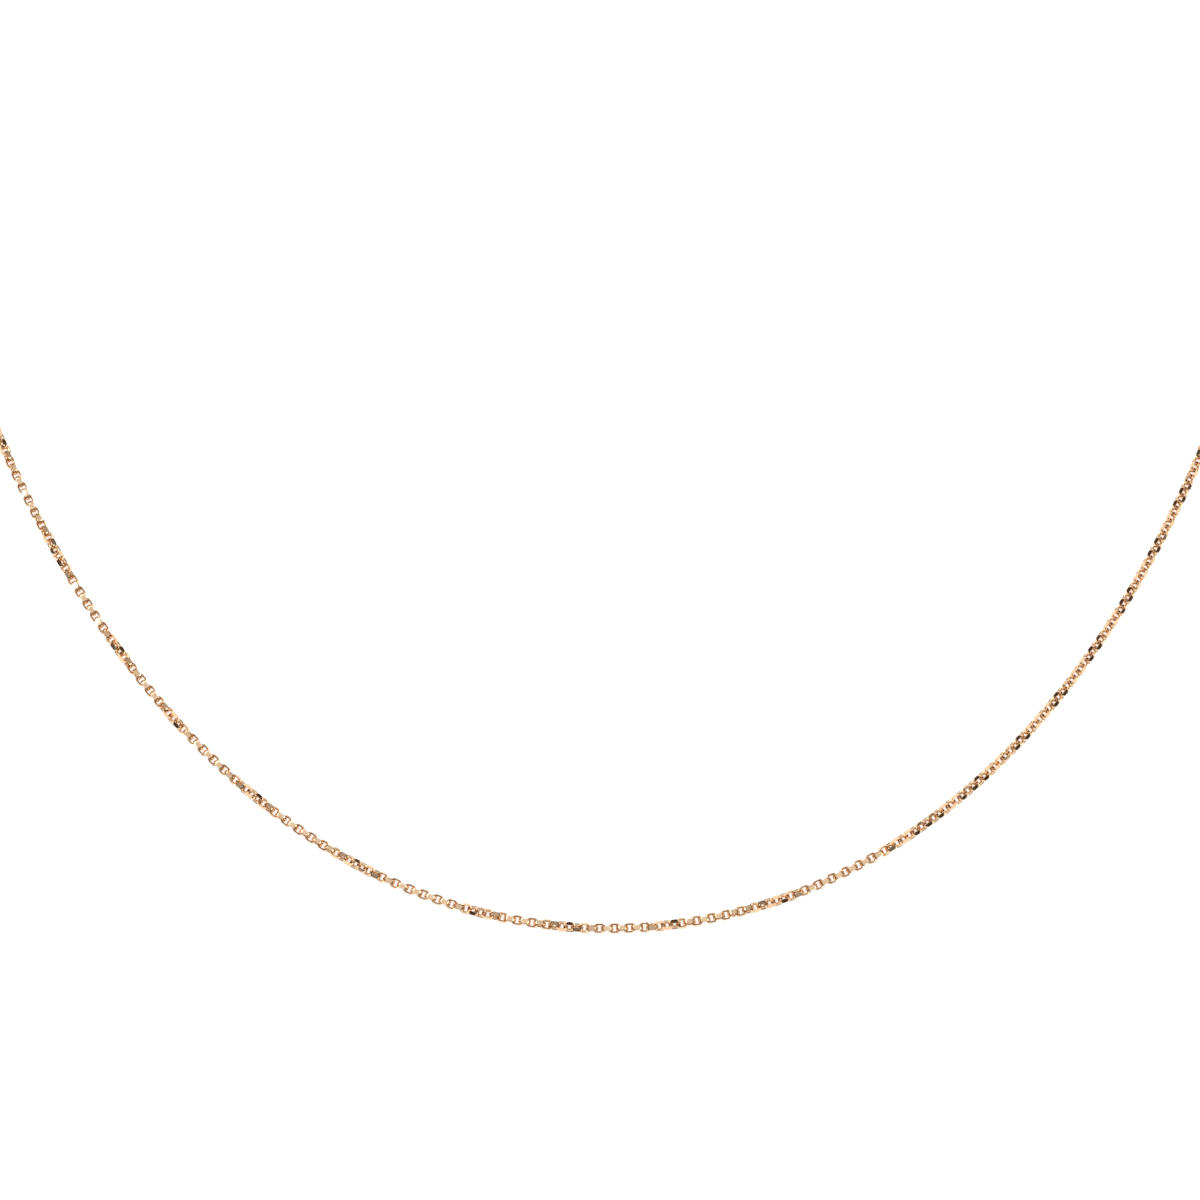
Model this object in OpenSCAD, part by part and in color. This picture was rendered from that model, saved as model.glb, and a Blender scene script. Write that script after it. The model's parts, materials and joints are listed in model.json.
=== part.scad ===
// Fine diamond-cut cable chain necklace, unfastened and laid in a U on a flat surface.
// Millimetres. The origin is on the surface, right under the front centre of the chain.
// +X runs along the chain there, +Y runs back between the two arms, +Z is up.

/* [Chain] */
// Length of the necklace from tip to tip, clasp included
length = 420; // [380:10:430]
// Distance from one link to the next
pitch = 0.78; // [0.76:0.01:0.82]
// Width of a link across its two cut sides
link_w = 1; // [0.98:0.01:1.02]
// Width of the eye of a link
eye_w = 0.58; // [0.56:0.01:0.6]
// Width of the half-round wire, across the face of the link
wire_w = 0.46; // [0.42:0.01:0.46]
// Thickness of the wire from its round inside to its flat outside
wire_t = 0.26; // [0.23:0.01:0.27]
// Slack between one link and the next
play = 0.04; // [0.03:0.01:0.05]

/* [Clasp] */
// Outside diameter of the bolt ring clasp
clasp_d = 5.5; // [5.2:0.1:6]
// Outside diameter of the bent tube that the clasp is made from
tube_d = 1.1; // [1.05:0.05:1.15]
// Bore of the tube
bore_d = 0.78; // [0.76:0.01:0.8]
// Diameter of the sliding tongue
tongue_d = 0.66; // [0.64:0.01:0.68]
// Angle that the tongue slides through
tongue_travel = 58; // [56:1:60]
// Diameter of the ball on the thumb knob
knob_d = 0.8; // [0.7:0.05:0.9]

/* [Rings] */
// Inside diameter of the jump ring that holds the clasp
jump_d = 1.48; // [1.4:0.02:1.6]
// Wire of the jump ring
jump_wire = 0.36; // [0.34:0.01:0.38]
// Inside diameter of the end ring that the clasp hooks into
end_d = 2.3; // [2.2:0.1:2.8]
// Wire of the end ring
end_wire = 0.44; // [0.4:0.01:0.46]

/* [Hidden] */
$fn = 48;
gold = [0.88, 0.62, 0.47];
gold_dark = [0.74, 0.50, 0.38];
steel = [0.72, 0.72, 0.74];

// A run is the part of the chain that one node holds.
links_per_run = 10;
tip_room = 5;
runs_per_side = round((length / 2 - tip_room) / pitch / links_per_run - 0.5);
half_links = links_per_run * (runs_per_side + 0.5);

eye_l = pitch + play;
straight = eye_l - eye_w;
// Each round wire is held where its centre would stay still as the next link turns on it.
wire_hold = eye_l / 2 + wire_w / 2;
// Half the width of the flat that the cutter leaves on the side of a link
flat_half = sqrt(pow(wire_w / 2, 2) - pow((link_w - eye_w - wire_w) / 2, 2));
// The axis of the chain stands high enough for a link's lowest edge to touch the surface.
axis_h = norm([link_w / 2, flat_half]);

// Amplitudes of the bend, in degrees: the first is the U itself, the rest even out its curve.
bend = [93, 13, 3, 1];
// Distance along the chain from its front to where it would stop bending
bend_half = 225;

function heading(s) =
    bend * [for (odd = [1, 3, 5, 7]) sin(odd * 90 * s / bend_half)];

function along(s) = [cos(heading(s)), sin(heading(s))];

function station(k) = (k + 0.5) * pitch;

// Where the links of the right arm stand. The left arm mirrors them.
spots = [
    for (i = 0, spot = along(pitch / 4) * pitch / 2; i < half_links;
        spot = spot + pitch * along((i + 1) * pitch), i = i + 1) spot
];

tip_s = station(half_links - 1);
tip_spot = spots[half_links - 1];
tip_heading = heading(tip_s);

// The chain turns on itself as it lies. At every whole number here one link in two lies flat.
quarter_turns = [
    [-tip_s, -17], [-83.5, -7], [-68, -6], [-58, -5], [-48.5, -4], [-35.5, -3], [-20, -2], [-10, -1],
    [0.5, 0], [9, 1], [25, 2], [31, 2.5], [84.5, 2.5], [91, 3], [tip_s, 12]
];
// Each link also leans up to this far either way on its own, as links with slack between them do.
lean = 4;
lean_step = 137;

function lie(s) = 45 * (1 - cos(180 * lookup(s, quarter_turns)));

function roll(k) = lie(station(k)) + (k % 2 == 0 ? 90 : 0) + lean * sin(lean_step * k);

// Places along the line of the chain, outwards from the centre of its last link
jump_r = jump_d / 2 + jump_wire / 2;
jump_x = eye_l / 2 - play + jump_d / 2;
end_r = end_d / 2 + end_wire / 2;
end_x = eye_l / 2 - play - end_wire / 2;
end_drop = asin((axis_h - end_wire / 2) / (2 * end_r));

tube_r = clasp_d / 2 - tube_d / 2;
ear_hole = 0.54;
ear_wire = (tube_d - ear_hole) / 2;
ear_r = ear_hole / 2 + ear_wire / 2;
ear_sunk = 0.12;
ear_x = jump_x + jump_d / 2 - play + ear_hole / 2;
clasp_x = ear_x + tube_d / 2 - ear_sunk + clasp_d / 2;
clasp_h = tube_d / 2;
jump_h = (axis_h + clasp_h) / 2;

// Angles round the clasp. The ear, towards the chain, is at 180 degrees.
mouth = [-20, 25];
tongue_ends = [-32, 75];
knob_at = 52;
spring_ends = [137, 235];
plug_ends = [237, 245];

slot_w = 0.36;
neck_d = 0.26;
neck_sunk = 0.25;
fit_gap = 0.01;

nose_d = tongue_d - 0.04;

spring_d = 0.7;
spring_wire = 0.12;
spring_turns = 12;
turn_steps = 14;
wire_steps = 6;

function two_digits(n) = str(n < 10 ? "0" : "", n);

function run_name(arm, j) = str("chain_", arm, "_", two_digits(j));

// ---- Shapes that repeat ----

// A round wire swept on the line of a ring, from one angle to another
module bent_wire(r, d, from = 0, to = 360) {
    rotate(from)
        rotate_extrude(angle = to - from)
            translate([r, 0])
                circle(d = d);
}

// The wire of a link: round inside the eye and flat outside
module link_section() {
    intersection() {
        translate([eye_w / 2 + wire_w / 2, 0])
            circle(d = wire_w);
        translate([0, -wire_w])
            square([eye_w / 2 + wire_t, 2 * wire_w]);
    }
}

// One end of a link and one of its straight sides
module half_link() {
    translate([straight / 2, 0, 0])
        rotate(-90)
            rotate_extrude(angle = 180)
                link_section();
    translate([-straight / 2, 0, 0])
        rotate([90, 0, 90])
            linear_extrude(straight)
                link_section();
}

// A whole link, lying flat along X, with both long sides cut flat
module link() {
    intersection() {
        for (turn = [0, 180])
            rotate(turn)
                half_link();
        cube([2 * pitch, link_w, 2 * wire_w], center = true);
    }
}

module at_link(k) {
    arm = k < 0 ? -1 : 1;
    spot = spots[k < 0 ? -k - 1 : k];
    translate([arm * spot.x, spot.y, axis_h])
        rotate([0, 0, heading(station(k))])
            rotate([roll(k), 0, 0])
                children();
}

// +X points outwards along the chain, from the centre of the last link of an arm
module at_tip(arm) {
    translate([arm * tip_spot.x, tip_spot.y, 0])
        rotate(arm > 0 ? tip_heading : 180 - tip_heading)
            children();
}

module at_clasp() {
    at_tip(-1)
        translate([clasp_x, 0, clasp_h])
            children();
}

// ---- Sub-parts ----

module chain_run(first) {
    color(gold)
        for (k = [first : first + links_per_run - 1])
            at_link(k)
                link();
}

module clasp_jump_ring() {
    color(gold)
        at_tip(-1)
            translate([jump_x, 0, jump_h])
                bent_wire(jump_r, jump_wire);
}

// Bent tube with an open mouth, a slot for the knob and an ear for the jump ring
module clasp_body() {
    color(gold)
        at_clasp()
            difference() {
                union() {
                    bent_wire(tube_r, tube_d, mouth[1], 360 + mouth[0]);
                    translate([ear_x - clasp_x, 0, 0])
                        rotate([90, 0, 0])
                            bent_wire(ear_r, ear_wire);
                }
                bent_wire(tube_r, bore_d, mouth[1] - 1, 360 + mouth[0] + 1);
                knob_slot();
            }
}

module knob_slot() {
    reach = asin(slot_w / 2 / tube_r) + 1;
    rotate(knob_at - reach)
        rotate_extrude(angle = tongue_travel + 2 * reach)
            translate([tube_r, -slot_w / 2])
                square([tube_d, slot_w]);
}

// Bent rod that bridges the mouth, with a round nose and a hole for the knob
module clasp_tongue() {
    color(gold)
        at_clasp()
            difference() {
                union() {
                    bent_wire(tube_r, tongue_d, tongue_ends[0], tongue_ends[1]);
                    rotate(tongue_ends[0])
                        translate([tube_r, 0, 0])
                            sphere(d = nose_d);
                }
                rotate(knob_at)
                    translate([tube_r + tongue_d / 2 - neck_sunk, 0, 0])
                        rotate([0, 90, 0])
                            cylinder(d = neck_d + 2 * fit_gap, h = tongue_d);
            }
}

module clasp_thumb_knob() {
    knob_r = tube_r + tube_d / 2 + knob_d / 2 + 0.1;
    neck_from = tube_r + tongue_d / 2 - neck_sunk + fit_gap;
    color(gold)
        at_clasp()
            rotate(knob_at) {
                translate([neck_from, 0, 0])
                    rotate([0, 90, 0])
                        cylinder(d = neck_d, h = knob_r - neck_from);
                translate([knob_r, 0, 0])
                    sphere(d = knob_d);
            }
}

// Centre of the spring's wire, and a point on its surface, after a number of steps
function coil_spot(step, round_wire) =
    let (
        turn = 360 * step / turn_steps,
        at = spring_ends[0] + (spring_ends[1] - spring_ends[0]) * step / turn_steps / spring_turns,
        side = 360 * round_wire / wire_steps,
        coil_r = (spring_d - spring_wire) / 2 + spring_wire / 2 * cos(side),
        out = tube_r + coil_r * cos(turn),
        along_tube = spring_wire / 2 * sin(side)
    )
    [
        out * cos(at) - along_tube * sin(at),
        out * sin(at) + along_tube * cos(at),
        coil_r * sin(turn)
    ];

// Coil that pushes the tongue shut, drawn as short as the open tongue presses it
module clasp_spring() {
    steps = turn_steps * spring_turns;
    skin = [for (i = [0:steps]) for (j = [0:wire_steps - 1]) coil_spot(i, j)];
    sides = [
        for (i = [0:steps - 1]) for (j = [0:wire_steps - 1])
            let (next = (j + 1) % wire_steps)
            [
                i * wire_steps + j, i * wire_steps + next,
                (i + 1) * wire_steps + next, (i + 1) * wire_steps + j
            ]
    ];
    near_end = [for (j = [wire_steps - 1:-1:0]) j];
    far_end = [for (j = [0:wire_steps - 1]) steps * wire_steps + j];
    color(steel)
        at_clasp()
            polyhedron(skin, concat(sides, [near_end, far_end]));
}

// Plug that the far end of the spring pushes against
module clasp_stop_plug() {
    color(gold_dark)
        at_clasp()
            bent_wire(tube_r, bore_d - 2 * fit_gap, plug_ends[0], plug_ends[1]);
}

// Soldered ring that leans from the last link down to the surface
module end_ring() {
    color(gold)
        at_tip(1)
            translate([end_x, 0, axis_h])
                rotate([0, end_drop, 0])
                    translate([end_r, 0, 0])
                        bent_wire(end_r, end_wire);
}

chain_run(-links_per_run / 2);  // chain_front
for (j = [1:runs_per_side]) {
    inner = links_per_run * (j - 0.5);
    chain_run(-inner - links_per_run);
    chain_run(inner);
}
clasp_jump_ring();
clasp_body();
clasp_tongue();
clasp_thumb_knob();
clasp_spring();
clasp_stop_plug();
end_ring();
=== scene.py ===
"""Looks of a fine diamond-cut cable chain necklace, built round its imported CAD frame, in metres."""

import json
import math

import bmesh
import bpy
import numpy as np
from mathutils import Matrix, Vector


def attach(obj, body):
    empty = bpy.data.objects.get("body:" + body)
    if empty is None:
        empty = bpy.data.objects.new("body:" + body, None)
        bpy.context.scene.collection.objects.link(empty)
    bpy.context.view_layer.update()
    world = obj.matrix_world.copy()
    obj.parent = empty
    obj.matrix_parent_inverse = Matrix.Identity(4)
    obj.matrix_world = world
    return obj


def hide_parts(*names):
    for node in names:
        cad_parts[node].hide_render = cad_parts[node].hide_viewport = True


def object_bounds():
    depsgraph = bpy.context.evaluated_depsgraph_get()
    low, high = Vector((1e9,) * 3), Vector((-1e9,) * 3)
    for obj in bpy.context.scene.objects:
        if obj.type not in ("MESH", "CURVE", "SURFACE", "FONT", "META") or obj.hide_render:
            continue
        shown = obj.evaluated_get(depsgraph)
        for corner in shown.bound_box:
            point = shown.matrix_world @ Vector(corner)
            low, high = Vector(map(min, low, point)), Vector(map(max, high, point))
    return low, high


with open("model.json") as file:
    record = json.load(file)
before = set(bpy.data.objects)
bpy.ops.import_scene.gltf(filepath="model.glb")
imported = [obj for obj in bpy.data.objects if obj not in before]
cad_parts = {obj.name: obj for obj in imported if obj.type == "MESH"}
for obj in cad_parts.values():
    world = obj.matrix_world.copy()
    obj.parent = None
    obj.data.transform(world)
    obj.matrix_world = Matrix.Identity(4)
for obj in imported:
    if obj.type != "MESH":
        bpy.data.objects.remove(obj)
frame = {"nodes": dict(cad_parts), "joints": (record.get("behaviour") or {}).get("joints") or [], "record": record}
cad_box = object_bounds()
bodies = frame["record"]["behaviour"]["bodies"]
joints = {joint["name"]: joint for joint in frame["joints"]}

UP = np.array([0.0, 0.0, 1.0])
ONE_PLACE = 1e-7


# ---- Reading the frame ----

def node_mesh(name):
    """The corners and triangles of a CAD node, with corners in one place made one."""
    mesh = frame["nodes"][name].data
    corners = np.empty(len(mesh.vertices) * 3)
    mesh.vertices.foreach_get("co", corners)
    mesh.calc_loop_triangles()
    triangles = np.empty(len(mesh.loop_triangles) * 3, int)
    mesh.loop_triangles.foreach_get("vertices", triangles)
    _, first, same = np.unique(
        np.round(corners.reshape(-1, 3) / ONE_PLACE), axis=0, return_index=True, return_inverse=True
    )
    return corners.reshape(-1, 3)[first], same.reshape(-1)[triangles].reshape(-1, 3)


def solids(name):
    """The triangles of each separate solid in a CAD node, as arrays of three corners."""
    corners, triangles = node_mesh(name)
    group = np.arange(len(corners))
    while True:
        lowest = group[triangles].min(axis=1)
        merged = group.copy()
        for side in range(3):
            np.minimum.at(merged, triangles[:, side], lowest)
        merged = merged[merged]
        if (merged == group).all():
            break
        group = merged
    owner = group[triangles[:, 0]]
    return [corners[triangles[owner == one]] for one in np.unique(owner)]


def placed(triangles):
    """(centre, axes, size) of a solid. The axes are rows: its longest way, its next and its thinnest."""
    sides = triangles[:, 1:] - triangles[:, :1]
    area = np.linalg.norm(np.cross(sides[:, 0], sides[:, 1]), axis=1)
    middle = (triangles.mean(axis=1) * area[:, None]).sum(axis=0) / area.sum()
    points = triangles - middle
    total = points.sum(axis=1)
    spread = np.einsum("t,tci,tcj->ij", area, points, points)
    spread += np.einsum("t,ti,tj->ij", area, total, total)
    axes = np.linalg.eigh(spread)[1].T[::-1]
    axes[2] = np.cross(axes[0], axes[1])
    along = points.reshape(-1, 3) @ axes.T
    centre = middle + axes.T @ ((along.max(axis=0) + along.min(axis=0)) / 2)
    return centre, axes, along.max(axis=0) - along.min(axis=0)


# ---- Making meshes ----

def skin(rows, columns, closed):
    """Quads over rows of points, each row a ring. A closed skin joins the last row to the first."""
    row = np.arange(rows if closed else rows - 1)[:, None]
    column = np.arange(columns)[None, :]
    next_row = (row + 1) % rows
    next_column = (column + 1) % columns
    quads = [
        row * columns + column, row * columns + next_column,
        next_row * columns + next_column, next_row * columns + column
    ]
    return np.stack(np.broadcast_arrays(*quads), axis=-1).reshape(-1, 4)


def rod_skin(rows, columns):
    """Faces over rows of points, with a flat face over each end."""
    last = columns * (rows - 1)
    ends = [list(range(columns)), list(range(last, last + columns))]
    return skin(rows, columns, closed=False).tolist() + ends


SHARP_ABOVE = math.radians(28)


def turn_outwards(mesh):
    """Makes every face of a closed mesh look outwards."""
    shell = bmesh.new()
    shell.from_mesh(mesh)
    bmesh.ops.recalc_face_normals(shell, faces=shell.faces)
    shell.to_mesh(mesh)
    shell.free()


def new_piece(name, points, faces, materials):
    """A closed mesh in the object's slot, smooth but for its sharp edges."""
    mesh = bpy.data.meshes.new(name)
    mesh.from_pydata(points.tolist(), [], [list(face) for face in faces])
    turn_outwards(mesh)
    mesh.shade_smooth()
    mesh.set_sharp_from_angle(angle=SHARP_ABOVE)
    for material in materials:
        mesh.materials.append(material)
    piece = bpy.data.objects.new(name, mesh)
    bpy.context.scene.collection.objects.link(piece)
    return piece


def place_piece(piece, body, node):
    """Makes a piece move with its body and stand in for a CAD node."""
    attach(piece, body)
    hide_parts(node)


COLUMNS = 24


def bent_rows(centre, across, up, radius, wire, turn):
    """Points round a wire bent on a circle: one row at each angle, as thick as the wire is there."""
    side = np.linspace(0, 2 * math.pi, COLUMNS, endpoint=False)
    outward = np.cos(turn)[:, None] * across + np.sin(turn)[:, None] * up
    reach = radius + np.outer(wire / 2, np.cos(side))
    lift = np.outer(wire / 2, np.sin(side))
    rows = centre + reach[..., None] * outward[:, None, :] + lift[..., None] * np.cross(across, up)
    return rows.reshape(-1, 3)


# ---- Materials ----

def shader(name, metallic=1.0):
    """A new material with its nodes, links and surface shader."""
    material = bpy.data.materials.new(name)
    material.use_nodes = True
    nodes = material.node_tree.nodes
    surface = nodes["Principled BSDF"]
    surface.inputs["Metallic"].default_value = metallic
    return material, nodes, material.node_tree.links, surface


def noise(nodes, links, place, size, detail=2.0, stretch=(1, 1, 1)):
    """Noise whose patches are about this size, longer along an axis whose stretch is over 1."""
    mapping = nodes.new("ShaderNodeMapping")
    for axis in range(3):
        mapping.inputs["Scale"].default_value[axis] = 1 / (size * stretch[axis])
    texture = nodes.new("ShaderNodeTexNoise")
    texture.inputs["Scale"].default_value = 1.0
    texture.inputs["Detail"].default_value = detail
    links.new(place, mapping.inputs["Vector"])
    links.new(mapping.outputs["Vector"], texture.inputs["Vector"])
    return texture.outputs["Fac"]


def blend_colours(nodes, links, factor, low, high, low_colour, high_colour):
    """A colour that goes from one to the other while the factor goes from low to high."""
    ramp = nodes.new("ShaderNodeValToRGB")
    ramp.color_ramp.elements[0].position = low
    ramp.color_ramp.elements[0].color = (*low_colour, 1)
    ramp.color_ramp.elements[1].position = high
    ramp.color_ramp.elements[1].color = (*high_colour, 1)
    links.new(factor, ramp.inputs["Fac"])
    return ramp.outputs["Color"]


NOISE_LOW = 0.3
NOISE_HIGH = 0.7


def mapped(nodes, links, factor, low, high):
    """The usual span of a noise, stretched over low to high."""
    spread = nodes.new("ShaderNodeMapRange")
    spread.inputs["From Min"].default_value = NOISE_LOW
    spread.inputs["From Max"].default_value = NOISE_HIGH
    spread.inputs["To Min"].default_value = low
    spread.inputs["To Max"].default_value = high
    links.new(factor, spread.inputs["Value"])
    return spread.outputs["Result"]


SCRATCH_W = 0.00003
SCRATCH_STRETCH = (6, 1, 1)
BUMP_STRENGTH = 0.35


def metal(name, light, deep, roughness, scratch_depth, patch):
    """Worn polished metal: two close tones, a roughness that wanders, and fine scratches."""
    material, nodes, links, surface = shader(name)
    place = nodes.new("ShaderNodeTexCoord").outputs["Object"]
    tone = noise(nodes, links, place, patch)
    links.new(blend_colours(nodes, links, tone, 0.35, 0.65, deep, light), surface.inputs["Base Color"])
    handling = noise(nodes, links, place, patch / 3, detail=4)
    links.new(mapped(nodes, links, handling, *roughness), surface.inputs["Roughness"])
    scratches = noise(nodes, links, place, SCRATCH_W, detail=3, stretch=SCRATCH_STRETCH)
    bump = nodes.new("ShaderNodeBump")
    bump.inputs["Strength"].default_value = BUMP_STRENGTH
    bump.inputs["Distance"].default_value = scratch_depth
    links.new(scratches, bump.inputs["Height"])
    links.new(bump.outputs["Normal"], surface.inputs["Normal"])
    return material


GOLD_LIGHT = (0.89, 0.64, 0.42)
GOLD_DEEP = (0.80, 0.54, 0.33)
STEEL_LIGHT = (0.62, 0.62, 0.64)
STEEL_DEEP = (0.45, 0.45, 0.47)

tumbled_gold = metal("tumbled_rose_gold", GOLD_LIGHT, GOLD_DEEP, (0.14, 0.26), 2e-6, 0.0006)
cut_gold = metal("diamond_cut_rose_gold", GOLD_LIGHT, GOLD_DEEP, (0.05, 0.12), 5e-7, 0.0009)
polished_gold = metal("polished_rose_gold", GOLD_LIGHT, GOLD_DEEP, (0.09, 0.18), 1e-6, 0.0008)
spring_steel = metal("drawn_spring_steel", STEEL_LIGHT, STEEL_DEEP, (0.2, 0.34), 2e-6, 0.0005)


# ---- Chain ----

EYE_W = 0.00058
PLAY = 0.00004
EDGE_SOFTENING = 15
CROWN_REACH = 0.93


def link_section(wire, wall):
    """Outline of a link's wire as (out from the eye, across): round inside, slightly crowned outside."""
    radius = wire / 2
    turn = np.linspace(math.pi / 2, 3 * math.pi / 2, 10)
    inside = np.column_stack([radius + radius * np.cos(turn), radius * np.sin(turn)])
    inside[[0, -1], 0] -= radius / EDGE_SOFTENING
    across = np.linspace(-CROWN_REACH, CROWN_REACH, 6)
    outside = np.column_stack([radius + (wall - radius) * (1 - across ** 2), radius * across])
    return np.vstack([inside, outside])


def master_link(first, second):
    """(points, quads, on_cut) of one link lying flat along X. on_cut marks the quads on its cut flats."""
    length, width, wire = first[2]
    eye_l = np.linalg.norm(second[0] - first[0]) + PLAY
    section = link_section(wire, (length - eye_l) / 2)
    bend = np.linspace(0, math.pi, 21)
    half = np.column_stack([np.sin(bend), -np.cos(bend), np.full(len(bend), (eye_l - EYE_W) / 2)])
    path = np.vstack([half, -half])
    reach = EYE_W / 2 + section[:, 0]
    points = np.empty((len(path), len(section), 3))
    points[..., 0] = path[:, 2:] + path[:, :1] * reach
    points[..., 1] = np.clip(path[:, 1:2] * reach, -width / 2, width / 2)
    points[..., 2] = section[:, 1]
    quads = skin(len(path), len(section), closed=True)
    points = points.reshape(-1, 3)
    on_cut = (np.abs(points[quads][..., 1]) > width / 2 - 1e-8).all(axis=1)
    return points, quads, on_cut


def chain_run(name, body):
    """The links of a run: the master link in the place of each of its CAD links."""
    places = [placed(solid) for solid in solids(name)]
    points, quads, on_cut = MASTER
    all_points = np.vstack([centre + points @ axes for centre, axes, _ in places])
    all_quads = np.vstack([quads + len(points) * i for i in range(len(places))])
    piece = new_piece("links_" + name, all_points, all_quads, [tumbled_gold, cut_gold])
    piece.data.polygons.foreach_set("material_index", np.tile(on_cut.astype(int), len(places)))
    place_piece(piece, body, name)


front_links = sorted((placed(solid) for solid in solids("chain_front")), key=lambda link: link[0][0])
MASTER = master_link(*front_links[:2])
for body, members in bodies.items():
    for member in members:
        if member.startswith("chain_"):
            chain_run(member, body)


# ---- Jump ring and end ring ----

SEAM_AT = 2.2
SEAM_WIDTH = 0.03
SEAM_DEPTH = 0.06


def wire_ring(name, body):
    """A closed ring of round wire in the place of a CAD ring, with a fine solder seam."""
    centre, axes, size = placed(solids(name)[0])
    turn = np.linspace(0, 2 * math.pi, 120, endpoint=False)
    seam = np.exp(-((turn - SEAM_AT) / SEAM_WIDTH) ** 2)
    wire = size[2] * (1 - SEAM_DEPTH * seam)
    rows = bent_rows(centre, axes[0], axes[1], (size[0] - size[2]) / 2, wire, turn)
    ring = new_piece("wire_" + name, rows, skin(len(turn), COLUMNS, closed=True), [polished_gold])
    place_piece(ring, body, name)


wire_ring("clasp_jump_ring", "clasp_jump_ring")
wire_ring("end_ring", "end_ring")


# ---- Bolt ring clasp ----

CLASP_CENTRE = np.array(joints["tongue_slide"]["pos_m"])
OUTWARD = CLASP_CENTRE - placed(solids("clasp_jump_ring")[0])[0]
OUTWARD = OUTWARD * [1, 1, 0] / np.linalg.norm(OUTWARD[:2])
SIDEWAYS = np.cross(UP, OUTWARD)


def round_clasp(name, first_angle=0.0):
    """(angle, distance from the middle, height) of a clasp node's corners. Angles start at the mouth."""
    offset = node_mesh(name)[0] - CLASP_CENTRE
    angle = np.arctan2(offset @ SIDEWAYS, offset @ OUTWARD)
    angle = (angle - first_angle) % (2 * math.pi) + first_angle
    return angle, np.linalg.norm(offset[:, :2], axis=1), offset[:, 2]


def clasp_rows(wire, turn):
    """Points round a wire that follows the middle of the clasp's tube."""
    return bent_rows(CLASP_CENTRE, OUTWARD, SIDEWAYS, TUBE_R, wire, turn)


tongue_angle, tongue_reach, _ = round_clasp("clasp_tongue", -math.pi)
TUBE_R = (tongue_reach.max() + tongue_reach.min()) / 2
TONGUE_D = tongue_reach.max() - tongue_reach.min()
body_angle, body_reach, body_height = round_clasp("clasp_body")
TUBE_D = body_height.max() - body_height.min()
from_wire = np.hypot(body_reach - TUBE_R, body_height)
on_tube = from_wire < TUBE_D / 2 * 1.001
BORE_D = 2 * from_wire.min()
TUBE_FROM, TUBE_TO = body_angle[on_tube].min(), body_angle[on_tube].max()
EAR_X = body_reach.max() - TUBE_D / 2
knob_angle, knob_reach, _ = round_clasp("clasp_thumb_knob")
KNOB_AT = (knob_angle.max() + knob_angle.min()) / 2
TRAVEL = math.radians(joints["tongue_slide"]["range_deg"][1])
SLOT_W = 0.00036
EAR_HOLE = 0.00054
NECK_D = 0.00026


def clasp_tube():
    """The bent tube: an outside, a bore, rounded lips at both ends and the thumb knob's slot."""
    lip = (TUBE_D - BORE_D) / 5
    turn = np.linspace(TUBE_FROM + lip / TUBE_R, TUBE_TO - lip / TUBE_R, 150)
    outside = np.full(len(turn), TUBE_D)
    turn = np.concatenate([[TUBE_FROM], turn, [TUBE_TO]])
    outside = np.concatenate([[TUBE_D - 2 * lip], outside, [TUBE_D - 2 * lip]])
    bore = np.full(len(turn), BORE_D)
    rows = np.vstack([clasp_rows(outside, turn), clasp_rows(bore[::-1], turn[::-1])])
    tube = new_piece("clasp_tube", rows, skin(2 * len(turn), COLUMNS, closed=True), [polished_gold])
    cut_slot(tube)
    place_piece(tube, "clasp", "clasp_body")


def cut_slot(tube):
    """Takes the knob's slot out of the tube's outer wall."""
    reach = math.asin(SLOT_W / 2 / TUBE_R) + math.radians(1)
    turn = np.linspace(KNOB_AT - reach, KNOB_AT + TRAVEL + reach, 40)
    corners = []
    for angle in turn:
        outward = math.cos(angle) * OUTWARD + math.sin(angle) * SIDEWAYS
        for out, up in ((0, -1), (TUBE_D, -1), (TUBE_D, 1), (0, 1)):
            corners.append(CLASP_CENTRE + (TUBE_R + out) * outward + up * SLOT_W / 2 * UP)
    cutter = new_piece("slot_cutter", np.array(corners), rod_skin(len(turn), 4), [])
    cut = tube.modifiers.new("slot", "BOOLEAN")
    cut.operation = "DIFFERENCE"
    cut.solver = "EXACT"
    cut.object = cutter
    evaluated = tube.evaluated_get(bpy.context.evaluated_depsgraph_get())
    mesh = bpy.data.meshes.new_from_object(evaluated)
    tube.modifiers.clear()
    tube.data = mesh
    bpy.data.objects.remove(cutter)


def clasp_ear():
    """The upright ring on the tube that the jump ring holds, and the solder that joins them."""
    wire = (TUBE_D - EAR_HOLE) / 2
    turn = np.linspace(0, 2 * math.pi, 80, endpoint=False)
    centre = CLASP_CENTRE - EAR_X * OUTWARD
    rows = bent_rows(centre, OUTWARD, UP, (EAR_HOLE + wire) / 2, np.full(len(turn), wire), turn)
    ear = new_piece("clasp_ear", rows, skin(len(turn), COLUMNS, closed=True), [polished_gold])
    place_piece(ear, "clasp", "clasp_body")
    solder_joint(wire)


def solder_joint(wire):
    """A fillet that narrows from the ear to the tube and widens on it."""
    along = np.linspace(0, 1, 12)
    radius = wire * (0.55 + 0.5 * (1 - along) ** 2)
    reach = EAR_X - TUBE_D / 2 + wire * (0.75 - 0.95 * along)
    solder = lathe("ear_solder", OUTWARD, np.column_stack([-reach, radius]))
    place_piece(solder, "clasp", "clasp_body")


def lathe(name, axis, profile):
    """A solid turned about an axis through the clasp's middle, from (place on the axis, radius) pairs."""
    across = np.cross(axis, UP)
    turn = np.linspace(0, 2 * math.pi, COLUMNS, endpoint=False)
    spokes = np.cos(turn)[:, None] * across + np.sin(turn)[:, None] * UP
    rows = [CLASP_CENTRE + place * axis + radius * spokes for place, radius in profile]
    return new_piece(name, np.vstack(rows), rod_skin(len(rows), COLUMNS), [polished_gold])


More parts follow.
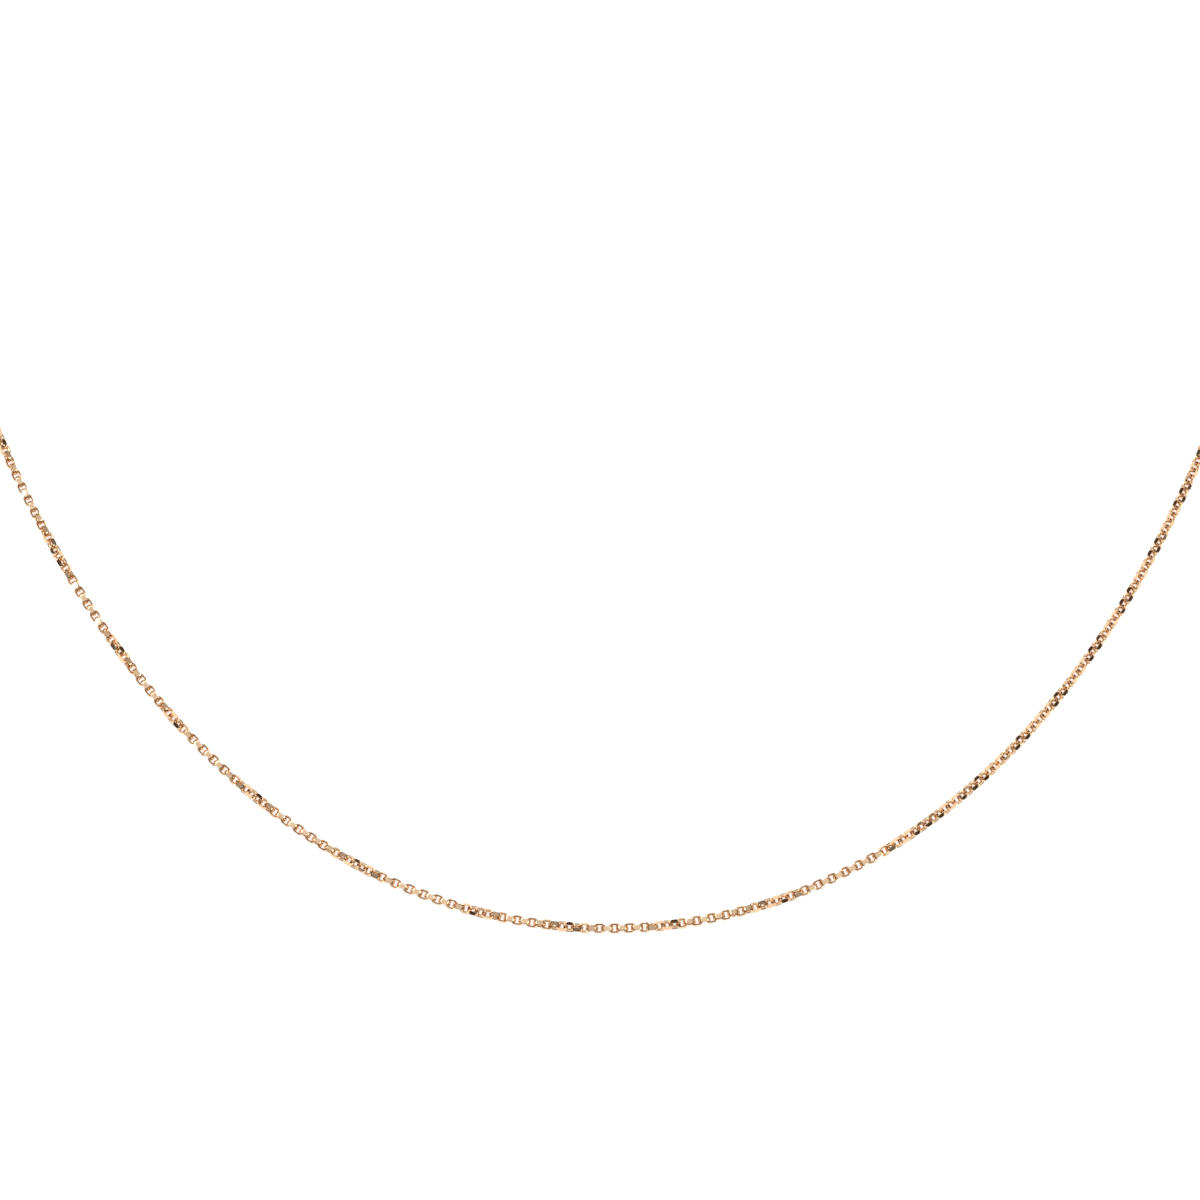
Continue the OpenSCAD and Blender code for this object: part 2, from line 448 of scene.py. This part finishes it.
def clasp_tongue():
    """The sliding rod, with a rounded nose that closes the mouth."""
    tip = tongue_angle.min()
    nose_turn = TONGUE_D / 2 / TUBE_R
    nose = np.linspace(math.pi / 2 - 0.05, 0, 9)
    straight = np.linspace(tip + nose_turn, tongue_angle.max(), 60)[1:]
    turn = np.concatenate([tip + nose_turn * (1 - np.sin(nose)), straight])
    wire = np.concatenate([TONGUE_D * np.cos(nose), np.full(len(straight), TONGUE_D)])
    rod = new_piece("clasp_rod", clasp_rows(wire, turn), rod_skin(len(turn), COLUMNS), [polished_gold])
    place_piece(rod, "clasp_tongue", "clasp_tongue")


def thumb_knob():
    """A ball with a small flat on top, on a neck that goes down to the tongue."""
    axis = math.cos(KNOB_AT) * OUTWARD + math.sin(KNOB_AT) * SIDEWAYS
    low, high = knob_reach.min(), knob_reach.max()
    ball = np.ptp(round_clasp("clasp_thumb_knob")[2]) / 2
    middle = high - ball
    turn = np.linspace(math.radians(152), math.radians(14), 22)
    profile = [(low, NECK_D / 2), (middle - 1.02 * ball, NECK_D / 2)]
    profile += [(middle + ball * math.cos(a), ball * math.sin(a)) for a in turn]
    knob = lathe("clasp_knob", axis, profile)
    place_piece(knob, "clasp_tongue", "clasp_thumb_knob")


clasp_tube()
clasp_ear()
clasp_tongue()
thumb_knob()
for name, material in (("clasp_stop_plug", polished_gold), ("clasp_spring", spring_steel)):
    frame["nodes"][name].data.materials.clear()
    frame["nodes"][name].data.materials.append(material)


# ---- Studio ----

TABLE_HALF = 3
TABLE_DARK = (0.40, 0.40, 0.40)
TABLE_PALE = (0.43, 0.43, 0.43)


def floor():
    """A plain white table that the necklace lies on."""
    material, nodes, links, surface = shader("white_table", metallic=0.0)
    place = nodes.new("ShaderNodeTexCoord").outputs["Object"]
    grain = noise(nodes, links, place, 0.02, detail=3)
    tone = blend_colours(nodes, links, grain, NOISE_LOW, NOISE_HIGH, TABLE_DARK, TABLE_PALE)
    links.new(tone, surface.inputs["Base Color"])
    surface.inputs["Roughness"].default_value = 0.8
    surface.inputs["Specular IOR Level"].default_value = 0.1
    surface.inputs["Emission Color"].default_value = (1, 1, 1, 1)
    surface.inputs["Emission Strength"].default_value = 0.8
    corners = TABLE_HALF * np.array([[-1, -1, 0], [1, -1, 0], [1, 1, 0], [-1, 1, 0]], float)
    mesh = bpy.data.meshes.new("table")
    mesh.from_pydata((corners + UP * cad_box[0][2]).tolist(), [], [(0, 1, 2, 3)])
    mesh.materials.append(material)
    table = bpy.data.objects.new("table", mesh)
    bpy.context.scene.collection.objects.link(table)


def softbox(name, place, aim, size, power):
    """A soft rectangular light at a place, aimed at a point."""
    light = bpy.data.lights.new(name, "AREA")
    light.shape = "RECTANGLE"
    light.size, light.size_y = size
    light.energy = power
    lamp = bpy.data.objects.new(name, light)
    aimed = (aim - place).to_track_quat("-Z", "Y").to_matrix().to_4x4()
    lamp.matrix_world = Matrix.Translation(place) @ aimed
    bpy.context.scene.collection.objects.link(lamp)


ROOM_LOW = (0.060, 0.042, 0.026)
ROOM_SIDE = (0.090, 0.064, 0.042)
ROOM_HIGH = (0.42, 0.40, 0.38)
CEILING = (0.95, 0.95, 0.95)


def studio_world():
    """Bright overhead and dark at the sides for the metal to reflect, plain white behind the part."""
    world = bpy.data.worlds.new("studio")
    world.use_nodes = True
    nodes = world.node_tree.nodes
    links = world.node_tree.links
    direction = nodes.new("ShaderNodeTexCoord").outputs["Generated"]
    split = nodes.new("ShaderNodeSeparateXYZ")
    links.new(direction, split.inputs["Vector"])
    ramp = nodes.new("ShaderNodeValToRGB")
    ramp.color_ramp.elements.new(0.35)
    ramp.color_ramp.elements.new(0.6)
    for stop, colour in zip(ramp.color_ramp.elements, (ROOM_LOW, ROOM_SIDE, ROOM_HIGH, CEILING)):
        stop.color = (*colour, 1)
    links.new(split.outputs["Z"], ramp.inputs["Fac"])
    around = nodes["Background"]
    links.new(ramp.outputs["Color"], around.inputs["Color"])
    behind = nodes.new("ShaderNodeBackground")
    behind.inputs["Color"].default_value = (1, 1, 1, 1)
    mix = nodes.new("ShaderNodeMixShader")
    links.new(nodes.new("ShaderNodeLightPath").outputs["Is Camera Ray"], mix.inputs["Fac"])
    links.new(around.outputs["Background"], mix.inputs[1])
    links.new(behind.outputs["Background"], mix.inputs[2])
    links.new(mix.outputs["Shader"], nodes["World Output"].inputs["Surface"])
    bpy.context.scene.world = world


def photo_camera():
    """A camera at a height of 76 degrees, as far off as makes the chain's arms leave the picture."""
    height = math.radians(76)
    swing = math.radians(1.06)
    distance = 0.3714
    half_width_over_distance = 6 / 35
    spot = Vector((-0.00125, 0.03512, placed(solids("chain_front")[0])[0][2]))
    level = math.cos(height)
    away = Vector((-level * math.sin(swing), -level * math.cos(swing), math.sin(height)))
    right = Vector((math.cos(swing), -math.sin(swing), 0))
    up = away.cross(right)
    camera = bpy.data.objects.new("camera", bpy.data.cameras.new("camera"))
    turned = Matrix((right, up, away)).transposed().to_4x4()
    camera.matrix_world = Matrix.Translation(spot + away * distance) @ turned
    camera.data.angle = 2 * math.atan(half_width_over_distance)
    camera.data.clip_start = 0.01
    camera.data.clip_end = 20
    bpy.context.scene.collection.objects.link(camera)
    bpy.context.scene.camera = camera


floor()
middle = Vector(((cad_box[0][0] + cad_box[1][0]) / 2, (cad_box[0][1] + cad_box[1][1]) / 2, 0))
softbox("key", middle + Vector((-0.5, 0.3, 0.8)), middle, (0.5, 0.5), 4)
softbox("fill", middle + Vector((0.7, -0.2, 0.6)), middle, (0.3, 0.4), 2)
studio_world()
photo_camera()
bpy.context.scene.view_settings.view_transform = "Standard"
